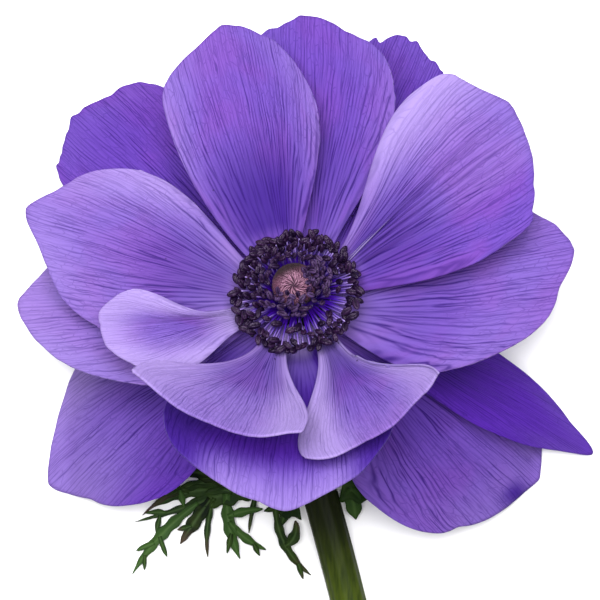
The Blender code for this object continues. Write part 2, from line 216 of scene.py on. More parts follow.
def curled(aside, width, cup):
    """How far aside and how high a point lies, once its side curls up by cup degrees."""
    bend = math.radians(cup) * aside / width
    if abs(bend) < 1e-6:
        return aside, 0.0
    return aside * math.sin(bend) / bend, aside * (1 - math.cos(bend)) / bend


def relief(tepal, s, v):
    """Pleats that spread from the foot as the veins do, and a fine quilting further out."""
    grown = smooth_step(0.03, 0.25, s)
    broad = noise.noise(Vector((v * 3.2, s * 1.2, tepal.foot)))
    narrow = noise.noise(Vector((v * 9.5, s * 1.7, tepal.foot + 5)))
    quilted = noise.noise(Vector((v * 21, s * 9, tepal.foot + 9)))
    height = tepal.pleats * grown * (broad * (1.2 - 0.5 * s) + 0.38 * narrow * (1 - 0.75 * s))
    height += 0.05 * quilted * smooth_step(0.2, 0.6, s)
    for place, depth, breadth in tepal.folds:
        over = (v - place) / breadth
        height += depth * math.exp(-over * over) * grown * (1 - 0.4 * smooth_step(0.6, 1, s))
    return height * MM


def blade_point(tepal, rib, s, v):
    """The upper surface, at s from foot to margin and v from the right side, -1, to the left, 1."""
    side = 0 if v > 0 else 1
    length = tepal.length * MM
    width = tepal.widths[side] * MM
    shoulder = tepal.shoulders[side]
    fan = abs(v) * QUARTER_TURN
    spread = math.sin(s * QUARTER_TURN) ** tepal.flares[side]
    ahead = s * length * (shoulder + (1 - shoulder) * max(math.cos(fan), 0) ** tepal.blunt)
    ahead += tepal.point * MM * math.exp(-((v / 0.22) ** 2)) * s**5
    ahead += tepal.wave * MM * math.sin(11 * v + tepal.foot) * s**6
    ahead += (tepal.jag + 0.12) * MM * noise.noise(Vector((v * 11, tepal.foot, 0))) * s**12
    for place, reach, breadth in tepal.corners:
        ahead += reach * MM * math.exp(-math.hypot(v - place, 0.02) / breadth) * s**4
    aside, lift = curled(width * math.sin(fan) * spread, width, tepal.cup[side])
    aside = math.copysign(aside, v) + 4 * s * (1 - s) * tepal.bend * MM
    lift += tepal.ruffle * MM * s * s * abs(v) ** 1.5 * math.sin(7 * v + 5 * s + tepal.foot)
    lift += relief(tepal, s, v)
    out, up, slope = along(rib, ahead, length)
    foot_out, foot_aside = foot_point(tepal, v)
    out += foot_out * (1 - spread) * (1 - s) ** 2
    aside += foot_aside * (1 - spread) * (1 - s) ** 2
    roll = math.radians(tepal.roll)
    rolled_aside = aside * math.cos(roll) - lift * math.sin(roll)
    rolled_lift = aside * math.sin(roll) + lift * math.cos(roll)
    return Vector((
        out - rolled_lift * math.sin(slope),
        rolled_aside,
        up + rolled_lift * math.cos(slope),
    ))


def paleness_and_light(tepal, s, v):
    """How pale the tissue is, partly its own paleness and partly painted light on sides that face
    the
    light: it changes from the midrib to either margin, and grows outwards. The face takes what is
    under 0 as 0 and what is over 1 as 1."""
    left, middle, right = tepal.pale_and_lit
    side = left if v > 0 else right
    share = middle + (side - middle) * smooth_step(0.1, 0.95, abs(v))
    # Paler along the end: pale tissue and, on a lip that faces the light, painted light.
    pale_and_lit_lip = tepal.pale_and_lit_lip * smooth_step(0.7, 1, s) * (1 - smooth_step(0.3, 0.8, abs(v)))
    sole = tepal.sole * (1 - smooth_step(0.15, 0.55, s))
    return share * (0.35 + 0.65 * smooth_step(0.2, 0.85, s)) + pale_and_lit_lip + sole


def darkness(tepal, s, v):
    """How dark the heart, the painted shade on the sides and the dark end are, at most 1. The heart
    is darkest a little way from the foot."""
    near = smooth_step(0.1, 0.2, s) * (1 - smooth_step(tepal.reach - 0.38, tepal.reach, s))
    place, how_dark, breadth = tepal.dark_end
    # A darker patch at the end, which the geometry doesn't explain.
    darkened_end = how_dark * math.exp(-(((v - place) / breadth) ** 2)) * smooth_step(0.9, 0.97, s)
    shaded_sides = tepal.side_shade * smooth_step(0.3, 0.65, abs(v))
    middle = 1 - 0.75 * smooth_step(0.25, 0.9, abs(v))
    return min(tepal.heart * near * middle + shaded_sides + darkened_end, 1)


def add_node(tree, kind, inputs, output=0, **settings):
    """Add a shader node, set or link its inputs, and give one of its outputs."""
    made = tree.nodes.new("ShaderNode" + kind)
    for name, value in settings.items():
        setattr(made, name, value)
    for key, value in inputs.items():
        if isinstance(value, bpy.types.NodeSocket):
            tree.links.new(value, made.inputs[key])
        else:
            made.inputs[key].default_value = value
    return made.outputs[output]


def maths(tree, operation, first, second=0.0):
    return add_node(tree, "Math", {0: first, 1: second}, operation=operation)


def ramp(tree, value, low, high, start=0.0, end=1.0):
    """A value's smooth way from start to end between low and high."""
    inputs = {"Value": value, "From Min": low, "From Max": high, "To Min": start, "To Max": end}
    return add_node(tree, "MapRange", inputs, interpolation_type="SMOOTHSTEP")


def mixed(tree, share, first, second):
    """Two colours mixed by a share. Each may be a socket or three numbers."""
    inputs = {0: share}
    for index, colour in ((6, first), (7, second)):
        inputs[index] = colour if isinstance(colour, bpy.types.NodeSocket) else (*colour, 1)
    return add_node(tree, "Mix", inputs, 2, data_type="RGBA")


def times(tree, first, second):
    return maths(tree, "MULTIPLY", first, second)


def forking_lines(tree, across, forward, count, start, thin):
    """Lines at even places across. From about start on, each sends off a branch that ends up
    midway to the next. Gives their strength, which differs from line to line."""
    place = times(tree, across, count)
    inside = maths(tree, "FRACT", place)
    cell = maths(tree, "SUBTRACT", place, inside)
    chance = add_node(tree, "TexWhiteNoise", {"W": cell}, noise_dimensions="1D")
    nearest_cell = maths(tree, "ROUND", place)
    main_chance = add_node(tree, "TexWhiteNoise", {"W": nearest_cell}, noise_dimensions="1D")
    begun = maths(tree, "SUBTRACT", forward, times(tree, chance, 0.25))
    away = ramp(tree, begun, start, start + 0.22, 0.0, 0.5)
    width = maths(tree, "DIVIDE", thin, maths(tree, "ADD", forward, 0.12))
    main = ramp(tree, maths(tree, "PINGPONG", inside, 0.5), 0.0, width, 1.0, 0.0)
    off = maths(tree, "ABSOLUTE", maths(tree, "SUBTRACT", inside, away))
    branch = ramp(tree, off, 0.0, width, 1.0, 0.0)
    main = times(tree, main, ramp(tree, main_chance, 0.0, 0.8, 0.6, 1.0))
    branch = times(tree, branch, ramp(tree, chance, 0.1, 1.0, 0.5, 1.0))
    return maths(tree, "MAXIMUM", main, branch)


def mottling(tree, place, scale=1.0, detail=3.0):
    return add_node(tree, "TexNoise", {"Vector": place, "Scale": scale, "Detail": detail})


def fan_noise(tree, across, forward, columns, rows, layer, detail):
    """Noise over a blade's fan, different on each layer."""
    inputs = {0: times(tree, across, columns), 1: times(tree, forward, rows), 2: layer}
    return mottling(tree, add_node(tree, "CombineXYZ", inputs), detail=detail)


def wander(tree, across, forward, columns, rows, far, layer):
    """Let a place across stray a little, more so further out, and differently on each layer."""
    drift = fan_noise(tree, across, forward, columns, rows, layer, 1.5)
    reach = ramp(tree, forward, 0.1, 0.7, far * 0.4, far)
    return maths(tree, "ADD", across, times(tree, maths(tree, "SUBTRACT", drift, 0.5), reach))


# The strong, the middling and the fine veins: how they stray (columns, rows, how far, layer), their
# lines (how many, where they fork, how thin), and where along the blade they come or go.
VEIN_LAYERS = (
    ((24, 7, 0.018, 3), (11, 0.02, 0.075), (0.3, 1.0, 1.0, 0.7)),
    ((30, 8, 0.028, 6), (22, 0.16, 0.12), (0.08, 0.3)),
    ((40, 10, 0.03, 9), (38, 0.55, 0.13), (0.3, 0.55, 0.0, 0.8)),
)


def build_vein_group():
    """Veins that fork on their way out. The finer ones stray across each other, and so make a
    net of long cells. Fan is (across, forward), each from 0 to 1."""
    tree = bpy.data.node_groups.new("forking_veins", "ShaderNodeTree")
    for name, kind, way in (
        ("Fan", "Vector", "INPUT"), ("Seed", "Float", "INPUT"),
        ("Veins", "Float", "OUTPUT"), ("Swelling", "Float", "OUTPUT"),
    ):
        tree.interface.new_socket(name, in_out=way, socket_type="NodeSocket" + kind)
    entrance = tree.nodes.new("NodeGroupInput").outputs
    results = tree.nodes.new("NodeGroupOutput").inputs
    sideways, forward, _ = add_node(tree, "SeparateXYZ", {0: entrance["Fan"]}).node.outputs
    turned = times(tree, maths(tree, "SUBTRACT", sideways, 0.5), math.pi)
    spread = times(tree, maths(tree, "SINE", turned), 0.5)
    across = maths(tree, "ADD", spread, entrance["Seed"])
    swayed = wander(tree, across, forward, 7, 3, 0.05, 0)
    parts = []
    for straying, lines, strength in VEIN_LAYERS:
        way = wander(tree, swayed, forward, *straying)
        line = forking_lines(tree, way, forward, *lines)
        parts.append((line, ramp(tree, forward, *strength)))
    slanted = maths(tree, "ADD", times(tree, forward, 18), times(tree, across, 9))
    cells = add_node(tree, "CombineXYZ", {0: times(tree, way, 40), 1: slanted})
    edge = add_node(
        tree, "TexVoronoi", {"Vector": cells, "Scale": 1.0},
        feature="DISTANCE_TO_EDGE", voronoi_dimensions="2D",
    )
    net = ramp(tree, edge, 0.0, 0.09, 1.0, 0.0)
    parts.append((net, ramp(tree, forward, 0.35, 0.65, 0.0, 0.5)))
    veins = 0.0
    for layer, (line, strength) in enumerate(parts):
        # Each vein fades and returns on its way.
        fading = fan_noise(tree, across, forward, 24, 5, layer * 7.0, 1.0)
        line = times(tree, line, ramp(tree, fading, 0.36, 0.6, 0.2, 1.0))
        veins = maths(tree, "MAXIMUM", times(tree, line, strength), veins)
    tree.links.new(veins, results["Veins"])
    puffed = ramp(tree, forward, 0.3, 0.6, 0.0, 0.3)
    blister = times(tree, ramp(tree, edge, 0.0, 0.35), puffed)
    sunk = times(tree, veins, ramp(tree, forward, 0.3, 0.8, 1.0, 0.5))
    tree.links.new(maths(tree, "SUBTRACT", blister, sunk), results["Swelling"])
    return tree


vein_group = build_vein_group()


def new_material(name, roughness, specular=0.5, **others):
    """A material, its tree and its shader, which gets constant values on its sockets."""
    material = bpy.data.materials.new(name)
    material.use_nodes = True
    sockets = material.node_tree.nodes["Principled BSDF"].inputs
    sockets["Roughness"].default_value = roughness
    sockets["Specular IOR Level"].default_value = specular
    for key, value in others.items():
        sockets[key.replace("_", " ").title()].default_value = value
    return material, material.node_tree, sockets[0].node


def give_bump(tree, shader, height, strength, depth):
    """Raise the surface by a height, at most depth millimetres."""
    inputs = {"Height": height, "Strength": strength, "Distance": depth * MM}
    tree.links.new(add_node(tree, "Bump", inputs), shader.inputs["Normal"])


def give_colour(tree, shader, colour, through=0.0):
    """Colour the shader, and mix in a share of light that comes through the tissue."""
    tree.links.new(colour, shader.inputs["Base Color"])
    if through:
        glow = add_node(tree, "Gamma", {0: colour, 1: 0.6})
        light = add_node(tree, "BsdfTranslucent", {"Color": glow})
        both = add_node(tree, "MixShader", {0: through, 1: shader.outputs[0], 2: light})
        tree.links.new(both, tree.nodes["Material Output"].inputs["Surface"])


def veined(tree):
    """A blade's tissue values, its seed, its veins and the places on its fan."""
    fan = add_node(tree, "UVMap", {}, uv_map="UVMap")
    tissue = add_node(tree, "Attribute", {}, attribute_name="tissue").node.outputs
    seed = times(tree, tissue["Alpha"], SEED_SPAN)
    veins = add_node(tree, "Group", {"Fan": fan, "Seed": seed}, node_tree=vein_group)
    place = add_node(tree, "SeparateXYZ", {0: fan})
    return tissue["Color"], seed, veins.node.outputs, place.node.outputs


def tepal_face():
    """Velvety violet tissue: dark veins in a deep heart, pale towards the margins partly with
    painted light, deeper on some partly with painted shade, painted shade on some sides, and a few
    grains of dark pollen near the stamens."""
    material, tree, shader = new_material(
        "tepal_face", roughness=0.55, specular=0.08,
        sheen_weight=0.03, sheen_roughness=0.45, sheen_tint=(0.75, 0.65, 1.0, 1),
    )
    tissue, seed, pattern, (sideways, forward, _) = veined(tree)
    pale_and_lit, deep, heart = add_node(tree, "SeparateColor", {0: tissue}).node.outputs
    spot = add_node(tree, "CombineXYZ", {0: sideways, 1: forward, 2: seed})
    patches = mottling(tree, spot, 3.4)
    patchy = ramp(tree, patches, 0.4, 0.65)
    colour = mixed(tree, patchy, (0.135, 0.062, 0.38), (0.158, 0.058, 0.365))
    # Deeper violet: partly the tepal's own colour and partly painted shade.
    colour = mixed(tree, deep, colour, (0.076, 0.016, 0.32))
    # Paler towards the margins: the tissue's own paleness and painted light.
    light = ramp(tree, maths(tree, "ADD", pale_and_lit, times(tree, patches, -0.12)), 0.0, 1.0)
    colour = mixed(tree, light, colour, (0.345, 0.25, 0.56))
    # The heart's own dark colour, with the painted shade on the sides and the dark end.
    colour = mixed(tree, heart, colour, (0.046, 0.014, 0.21))
    strength = times(tree, pattern["Veins"], ramp(tree, forward, 0.3, 0.95, 0.95, 0.8))
    strength = times(tree, strength, ramp(tree, forward, 0.04, 0.16, 0.5, 1.0))
    strength = times(tree, strength, ramp(tree, light, 0.15, 0.85, 1.0, 0.5))
    colour = mixed(tree, strength, colour, (0.02, 0.004, 0.12))
    scattered = {"Vector": add_node(tree, "TexCoord", {}, 3), "Scale": 420.0}
    grains = add_node(tree, "TexVoronoi", scattered).node.outputs
    chosen = ramp(tree, add_node(tree, "SeparateColor", {0: grains["Color"]}), 0.8, 0.85)
    fallen = times(tree, ramp(tree, grains["Distance"], 0.06, 0.11, 0.8, 0.0), chosen)
    fallen = times(tree, fallen, ramp(tree, forward, 0.3, 0.7, 1.0, 0.0))
    colour = mixed(tree, fallen, colour, (0.012, 0.004, 0.03))
    give_bump(tree, shader, pattern["Swelling"], 1.0, 0.06)
    give_colour(tree, shader, colour, through=0.3)
    return material


def tepal_back():
    """The silkier, greyer back of a tepal, on which the veins stand out."""
    material, tree, shader = new_material(
        "tepal_back", roughness=0.5, sheen_weight=0.2, sheen_tint=(0.85, 0.8, 1.0, 1)
    )
    _, _, pattern, (_, forward, _) = veined(tree)
    further = ramp(tree, forward, 0.1, 0.9)
    colour = mixed(tree, further, (0.24, 0.18, 0.4), (0.17, 0.1, 0.4))
    colour = mixed(tree, times(tree, pattern["Veins"], 0.4), colour, (0.07, 0.035, 0.22))
    give_bump(tree, shader, times(tree, pattern["Swelling"], -1.0), 0.9, 0.07)
    give_colour(tree, shader, colour, through=0.25)
    return material


face_tissue = tepal_face()
back_tissue = tepal_back()


def make_tepal(tepal, number):
    foot = math.radians(tepal.foot)
    depth = WHORL_DEPTHS[tepal.whorl] + tepal.drop * MM
    seat = Matrix.Translation(polar(foot, SEAT_RADIUS, -depth))
    matrix = bloom @ seat @ Matrix.Rotation(math.radians(tepal.heading), 4, "Z")
    rib = midrib(tepal)
    shape = bmesh.new()
    shape.loops.layers.uv.new("UVMap")
    tissue = shape.verts.layers.float_color.new("tissue")
    bmesh.ops.create_grid(
        shape, x_segments=TEPAL_COLUMNS, y_segments=TEPAL_ROWS, size=1, calc_uvs=True
    )
    for vertex in shape.verts:
        s, v = (vertex.co.y + 1) / 2, -vertex.co.x
        pale_and_lit, dark = paleness_and_light(tepal, s, v), darkness(tepal, s, v)
        vertex[tissue] = (pale_and_lit, tepal.deep, dark, number / SEED_SPAN)
        world = matrix @ blade_point(tepal, rib, s, v)
        world.z = pressed(world.z, CAD_TEPAL_THICKNESS)
        vertex.co = world
    piece = finish_piece(tepal.name + "_blade", shape, face_tissue, tepal.name)
    piece.data.materials.append(back_tissue)
    skin = piece.modifiers.new("Thickness", "SOLIDIFY")
    skin.thickness = TEPAL_THICKNESS
    skin.offset = -1
    skin.material_offset = 1


# ---- The inner whorl ----
# Six tepals round the stamens. The front two are cupped and stand up, and show their inner sides,
# which are bright partly with painted light; the one beside them is small, with a narrow foot.

INNER_WHORL = (
    Tepal("tepal_top_left", 0, 112, 103, 37, (12.6, 10.4), shoulders=(0.75, 0.6), rise=(30, 20, 14),
          roll=-6, blunt=1.1, point=1.2, flares=(0.62, 1.2), pale_and_lit=(0.5, 0.1, 0.45), heart=1.0,
          sole=0.1, corners=((0.06, 0.7, 0.05), (0.3, -0.6, 0.15), (-0.28, -0.7, 0.15))),
    Tepal("tepal_upper_right", 0, 24, 36, 36.5, (13.9, 13.8), shoulders=(0.78, 0.68),
          rise=(25, 10, 2), roll=8, blunt=0.5, point=1.2, flares=(1.9, 0.9), pale_and_lit_lip=0,
          pale_and_lit=(1, 0.4, -0.8), heart=0.65, pleats=0.45,
          folds=((0.12, 1.0, 0.03), (-0.03, 1.1, 0.03), (-0.17, 0.9, 0.04)),
          corners=((0.2, 1.7, 0.2), (-0.65, -2.0, 0.3), (-0.42, -0.9, 0.15))),
    Tepal("tepal_left", 0, 176, 162.5, 36.6, (13.5, 10.9), shoulders=(0.62, 0.66), rise=(26, 14, 5),
          cup=(-10, 20), roll=-5, blunt=1.2, point=3, drop=0.9, pale_and_lit=(0.45, 0.35, 0.75), sole=0.4,
          corners=((0, 0.5, 0.04), (0.2, -1.5, 0.35), (-0.35, -0.6, 0.2))),
    Tepal("tepal_fold_left", 0, 206, 195, 27, (8.2, 4.8), shoulders=(0.62, 0.77), rise=(34, 24, 12),
          cup=(-10, 10), roll=-8, flares=(2.6, 6), drop=0.15, pale_and_lit_lip=0.5, pale_and_lit=(1.1, 0.35, 1.1),
          heart=0.1, sole=1.0, bend=1.0),
    Tepal("tepal_front_left", 0, 244, 256, 31.5, (12.0, 15.1), shoulders=(0.93, 0.96),
          rise=(24, 42, 48), cup=(35, 30), roll=-8, blunt=0.7, flares=(1.9, 2.8), drop=-0.6, pale_and_lit_lip=0,
          pale_and_lit=(1.6, 0.5, 1), heart=0.5, sole=0.35, corners=((1, 1.3, 0.1), (-0.9, 0.8, 0.15))),
    Tepal("tepal_front_right", 0, 303, 299, 28.9, (11.2, 12.3), shoulders=(1.06, 0.83),
          rise=(18, 30, 38), cup=(35, 15), roll=8, blunt=0.7, flares=(3.2, 2.4),
          pale_and_lit=(1.1, 0.3, 1.9), heart=0.7, sole=0.8),
)

for number, tepal in enumerate(INNER_WHORL):
    make_tepal(tepal, number)

# ---- The middle whorl ----
# Four broad tepals in the gaps of the inner whorl. The front one has a bright lip, partly painted
# light, that curls out from under the two above it; their shade on its sides is painted shade.

MIDDLE_WHORL = (
    Tepal("tepal_top", 1, 72, 90, 39.5, (10, 13.5), shoulders=(0.7, 0.64), rise=(18, 15, 5), roll=6,
          blunt=0.9, point=0.5, deep=0.25, pale_and_lit=(0.2, 0.05, 0.4), heart=0.5,
          corners=((0.08, 0.7, 0.05), (0.3, -0.8, 0.15), (-0.28, -1.5, 0.3))),
    Tepal("tepal_right", 1, 346, 12, 36.6, (11, 15.9), shoulders=(0.62, 0.4), rise=(10, -2, -6),
          point=1.5, flares=(1.2, 0.85), pale_and_lit_lip=0, pale_and_lit=(0.5, 0.35, 0.4), heart=0.4, sole=0.3,
          corners=((0.3, 1.1, 0.12), (0.02, 0.4, 0.04), (-0.2, -1.6, 0.22))),
    Tepal("tepal_lower_left", 1, 190, 180, 37.6, (14.2, 11), shoulders=(0.46, 0.6),
          rise=(15, 0, -5), blunt=1.4, point=1, drop=0.3, pale_and_lit=(0.5, 0.45, 0.5),
          corners=((-0.1, 0.5, 0.05), (0.12, -0.7, 0.15))),
    Tepal("tepal_front", 1, 268, 269.5, 31.3, (16, 18.2), shoulders=(0.6, 0.66), rise=(10, 27, 5),
          cup=(12, 28), point=3, deep=1.0, pale_and_lit_lip=0.6, pale_and_lit=(0, 0.03, 0), heart=0.8, reach=0.8,
          sole=0.8, side_shade=0.9, corners=((-0.12, -1.2, 0.08), (0.5, 1.1, 0.2))),
)

for number, tepal in enumerate(MIDDLE_WHORL, len(INNER_WHORL)):
    make_tepal(tepal, number)

# ---- The outer whorl ----
# Five longer, deeper coloured tepals at the back, with torn and wavy margins; their deeper violet
# is partly painted shade. They droop until their tips lie on the surface.

OUTER_WHORL = (
    Tepal("tepal_back_top", 2, 52, 74, 45.2, (10, 9.8), rise=(5, -8, -15), cup=(0, 0), wave=0.9,
          jag=0.9, deep=0.4, pale_and_lit=(0.1, 0.05, 0.1),
          corners=((-0.05, -2.0, 0.16), (0.22, -0.7, 0.03), (0.29, 1.0, 0.03))),
    Tepal("tepal_back_left", 2, 145, 135, 43.5, (12.5, 12.5), rise=(8, 0, -8), cup=(0, 0),
          blunt=0.7, wave=0.6, jag=0.6, deep=0.35, pale_and_lit=(0.2, 0.05, 0.2),
          corners=((-0.5, -0.7, 0.15), (0.1, -0.4, 0.1), (0.35, 0.4, 0.08))),
    Tepal("tepal_low_left", 2, 217, 206, 45, (14.3, 14), shoulders=(0.58, 0.6), rise=(-5, -28, -45),
          cup=(-8, -8), blunt=1.2, point=3, deep=0.7, pale_and_lit=(0.1, 0.4, 0.8),
          corners=((-0.02, 1.1, 0.08), (0.3, -0.9, 0.15), (-0.5, -0.4, 0.2))),
    Tepal("tepal_low_right", 2, 308, 328, 44.4, (12, 16.9), shoulders=(0.85, 0.5),
          rise=(-15, -41, -52), cup=(-8, -8), blunt=0.75, drop=0.4, deep=0.35,
          pale_and_lit=(0.35, 0.25, 0.3), dark_end=(-0.03, 1, 0.1),
          corners=((0.2, 2.1, 0.2), (-0.45, -2.8, 0.2), (0.6, -0.9, 0.12))),
    Tepal("tepal_long_right", 2, 335, 341, 47, (6.6, 6), shoulders=(0.5, 0.62),
          rise=(-10, -36, -48), cup=(-20, -20), blunt=1.4, point=4, drop=-0.1, deep=1.0,
          pale_and_lit=(0, 0.1, 0.1), corners=((0.22, -1.6, 0.15), (0.65, 1.0, 0.12))),
)

for number, tepal in enumerate(OUTER_WHORL, len(INNER_WHORL) + len(MIDDLE_WHORL)):
    make_tepal(tepal, number)

# ---- The stamens ----
# Some 270 stamens stand on a low cushion round the pistils: bright violet filaments, each with a
# dark anther of two swollen halves. The outer ones lean out on to the tepals, the inner ones
# crowd on to the side of the pistil head.

GOLDEN_ANGLE = math.pi * (3 - math.sqrt(5))
CUSHION_HEIGHT = 1.0 * MM
CUSHION_PROFILE = ((4.3, 0.3), (4.3, 0.7), (4.0, 1.0), (3.2, 1.05))
CUSHION_SIDES = 64
HEAD_RADIUS = 3.15 * MM
HEAD_SQUASH = 3.3 * MM
HEAD_MIDDLE = 3.0 * MM
ANTHER_CLEARANCE = 0.5 * MM
ANTHER_TRIES = 14
ANTHER_RINGS = 9
ANTHER_SIDES = 16
FILAMENT_RINGS = 9


@dataclass
class Belt:
    """A ring of stamens in the bloom's frame. Lengths are in millimetres, angles in degrees."""

    stamens: int
    arc: tuple  # the azimuths between which it runs
    reach: tuple  # how far from the bloom's middle its anthers are
    height: tuple  # how high over the receptacle they are
    root: tuple  # how far from the middle its filaments stand
    anther: float  # an anther's length
    further: float = 0.0  # how much further out they reach on the side away from the lean
    grey: float = 0.0  # how much greyer some of its anthers are


BELTS = (
    Belt(120, (0, 360), (8.0, 9.5), (3.2, 4.8), (3.5, 4.15), 2.05, 1.4),
    Belt(40, (10, 240), (6.0, 8.2), (4.4, 5.4), (3.4, 4.0), 1.9, 0.6),
    Belt(11, (240, 370), (6.4, 9.0), (4.0, 4.8), (3.4, 4.0), 1.9, 0.8),
    Belt(52, (215, 385), (2.3, 6.0), (4.8, 6.2), (3.3, 3.8), 1.6, 0.0, 1.0),
    Belt(16, (340, 400), (1.9, 5.2), (5.0, 6.2), (3.3, 3.8), 1.6, 0.0, 1.0),
    Belt(32, (40, 215), (3.9, 6.0), (4.2, 4.9), (3.4, 3.8), 1.5, 0.0, 0.3),
)


def tepals_below():
    """The tepals' upper sides, in the bloom's frame, as a tree that rays can meet."""
    back = bloom.inverted()
    corners, faces = [], []
    for tepal in INNER_WHORL + MIDDLE_WHORL:
        mesh = bpy.data.objects[tepal.name + "_blade"].data
        start = len(corners)
        corners += [back @ vertex.co for vertex in mesh.vertices]
        faces += [[start + index for index in face.vertices] for face in mesh.polygons]
    return BVHTree.FromPolygons(corners, faces)


def over_head(spot):
    """The lowest height that is clear of the pistil head at a spot."""
    off = math.hypot(spot.x, spot.y) / (HEAD_RADIUS + ANTHER_CLEARANCE)
    if off >= 1:
        return 0.0
    return HEAD_MIDDLE + (HEAD_SQUASH + ANTHER_CLEARANCE) * math.sqrt(1 - off * off)


def anther_spots():
    """Where each anther's middle is. Of several places, each takes the one with the most room."""
    draw = random.Random(11)
    below = tepals_below()
    spots = []
    for belt in BELTS:
        for _ in range(belt.stamens):
            best, most_room = None, -1.0
            for _ in range(ANTHER_TRIES):
                azimuth = math.radians(draw.uniform(*belt.arc))
                away = math.cos(azimuth - BLOOM_LEANS_TOWARDS - math.pi)
                reach = draw.uniform(*belt.reach) + belt.further * away
                spot = polar(azimuth, reach * MM, draw.uniform(*belt.height) * MM)
                spot.z = max(spot.z, over_head(spot))
                hit = below.ray_cast(spot + Vector((0, 0, 0.03)), -UP)[0]
                if hit is not None:
                    spot.z = max(spot.z, hit.z + ANTHER_CLEARANCE)
                room = min(((spot - other).length for other, *_ in spots), default=1.0)
                if room > most_room:
                    best, most_room = (spot, azimuth, belt), room
            spots.append(best)
    return spots


def add_ring(shape, tint, colour, middle, across, over, radii):
    """A ring of corners round a middle, with a radius for each."""
    ring = []
    for step, radius in enumerate(radii):
        angle = step / len(radii) * math.tau
        spoke = across * math.cos(angle) + over * math.sin(angle)
        vertex = shape.verts.new(middle + spoke * radius)
        vertex[tint] = colour
        ring.append(vertex)
    return ring


def join_rings(shape, rings):
    """A closed skin over a row of rings."""
    for lower, upper in zip(rings, rings[1:]):
        for step in range(len(lower)):
            after = (step + 1) % len(lower)
            shape.faces.new((lower[step], lower[after], upper[after], upper[step]))
    shape.faces.new(list(reversed(rings[0])))
    shape.faces.new(rings[-1])


def square_to(forward, hint):
    """Two directions square to forward, the first as near to a hint as it can be."""
    across = (hint - forward * hint.dot(forward)).normalized()
    return across, forward.cross(across)


def add_filament(shape, tint, colour, root, tip, azimuth):
    """A thin, slightly tapered thread that leaves the cushion upright and arches out to its tip."""
    lean = (tip - root).normalized()
    handle = root + (UP * 0.55 + lean * 0.45).normalized() * (tip - root).length * 0.4
    end_handle = tip - lean * (tip - root).length * 0.3
    path = geometry.interpolate_bezier(root, handle, end_handle, tip, FILAMENT_RINGS)
    last = FILAMENT_RINGS - 1
    rings = []
    for index, point in enumerate(path):
        forward = (path[min(index + 1, last)] - path[max(index - 1, 0)]).normalized()
        across, over = square_to(forward, polar(azimuth + QUARTER_TURN, 1, 0))
        radius = (0.19 - 0.08 * index / last) * MM
        share = index / last
        shade = (colour[0], share, colour[2], 1)
        rings.append(add_ring(shape, tint, shade, bloom @ point, across, over, [radius] * 6))
    join_rings(shape, rings)


def add_anther(shape, tint, colour, middle, long_way, face_way, length):
    """Two swollen halves side by side, with a groove between them along the front and the back."""
    across, over = square_to(long_way, face_way)
    rings = []
    for index in range(ANTHER_RINGS):
        share = (index + 0.25) / (ANTHER_RINGS - 0.5)
        fullness = math.sin(share * math.pi) ** 0.55
        radii, grooves = [], []
        for step in range(ANTHER_SIDES):
            angle = step / ANTHER_SIDES * math.tau
            side = 1.0 if math.cos(angle) > 0 else 0.5
            groove = math.exp(-((math.sin(angle) / 0.34) ** 2)) * side
            radii.append(length * (0.265 - 0.14 * groove) * fullness)
            grooves.append(groove)
        point = middle + long_way * length * (share - 0.5)
        ring = add_ring(shape, tint, colour, point, across, over, radii)
        for vertex, groove in zip(ring, grooves):
            vertex[tint] = (colour[0], groove, colour[2], 1)
        rings.append(ring)
    join_rings(shape, rings)


def tint_of(tree):
    """The three values of the tint that a piece carries."""
    tint = add_node(tree, "Attribute", {}, attribute_name="tint")
    return add_node(tree, "SeparateColor", {0: tint}).node.outputs


def filament_material():
    """Glossy violet threads, deep at the foot, with a painted highlight that makes them paler where
    they meet the anther.
    """
    material, tree, shader = new_material("filament", roughness=0.28, specular=0.7)
    deep, out, _ = tint_of(tree)
    # Paler towards the anther: a painted highlight.
    colour = mixed(tree, ramp(tree, out, 0.45, 1.0), (0.05, 0.004, 0.34), (0.34, 0.22, 0.62))
    colour = mixed(tree, deep, colour, (0.03, 0.006, 0.13))
    give_colour(tree, shader, colour, through=0.3)
    return material


def anther_material():
    """Blackish purple, greyer on some, with painted shade in the grooves, and grains of pollen."""
    material, tree, shader = new_material(
        "anther", roughness=0.3, specular=0.22, specular_tint=(0.85, 0.65, 1.0, 1)
    )
    warm, groove, grey = tint_of(tree)
    place = add_node(tree, "TexCoord", {}, 3)
    grain = mottling(tree, place, 3000)
    colour = mixed(tree, warm, (0.004, 0.001, 0.011), (0.019, 0.006, 0.028))
    colour = mixed(tree, grey, colour, (0.065, 0.035, 0.105))
    # Painted shade in the grooves between the two halves.
    colour = mixed(tree, groove, colour, (0.003, 0.001, 0.006))
    colour = mixed(tree, ramp(tree, grain, 0.52, 0.72, 0, 0.12), colour, (0.08, 0.05, 0.11))
    give_bump(tree, shader, grain, 1.0, 0.16)
    give_colour(tree, shader, colour)
    return material


def tinted_shape():
    """An empty bmesh, and the layer that holds its corners' tint."""
    shape = bmesh.new()
    return shape, shape.verts.layers.float_color.new("tint")


